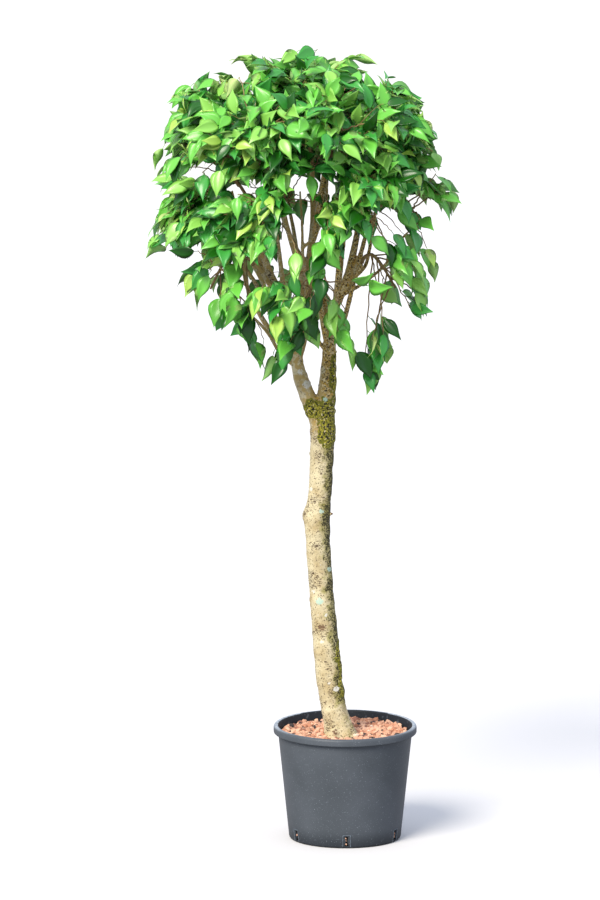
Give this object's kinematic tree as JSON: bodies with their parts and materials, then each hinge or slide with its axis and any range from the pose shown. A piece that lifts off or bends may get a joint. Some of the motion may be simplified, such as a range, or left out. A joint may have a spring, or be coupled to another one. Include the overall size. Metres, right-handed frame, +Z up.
{
  "type": "potted standard weeping fig",
  "caption": "Weeping fig grown as a standard: a bare leaning stem, a fork and a flat-topped head of drooping leaves, in a round nursery pot topped with clay granules.",
  "frame": {"origin": "middle of the pot's flat underside", "axes": "+Z up along the height of the plant, -Y towards the side that the picture was taken from, +X to its right"},
  "size_m": [0.8611, 0.8628, 2.2007],
  "materials": {
    "nursery_pot": "satin slate grey, dusty",
    "clay_granules": "matt porous fired clay",
    "bark": "matt bark with lenticels",
    "foliage": "glossy upper faces, paler undersides"
  },
  "bodies": {
    "root": {"bough_back": "bark", "bough_back_left": "bark", "bough_back_right": "bark", "bough_front_left": "bark", "bough_front_right": "bark", "bough_high_back_left": "bark", "bough_high_back_right": "bark", "bough_high_front_left": "bark", "bough_high_front_right": "bark", "bough_left": "bark", "bough_low_back": "bark", "bough_low_back_left": "bark", "bough_low_front": "bark", "bough_low_left": "bark", "bough_low_right": "bark", "bough_right": "bark", "clay_granules": "clay_granules", "foliage_back": "foliage", "foliage_back_left": "foliage", "foliage_back_right": "foliage", "foliage_front_left": "foliage", "foliage_front_right": "foliage", "foliage_high_back_left": "foliage", "foliage_high_back_right": "foliage", "foliage_high_front_left": "foliage", "foliage_high_front_right": "foliage", "foliage_high_left": "foliage", "foliage_high_right": "foliage", "foliage_left": "foliage", "foliage_low_back": "foliage", "foliage_low_back_left": "foliage", "foliage_low_front": "foliage", "foliage_low_left": "foliage", "foliage_low_right": "foliage", "foliage_right": "foliage", "foliage_top": "foliage", "limb_centre": "bark", "limb_left": "bark", "limb_right": "bark", "pot": "nursery_pot", "trunk": "bark"}
  },
  "joints": []
}
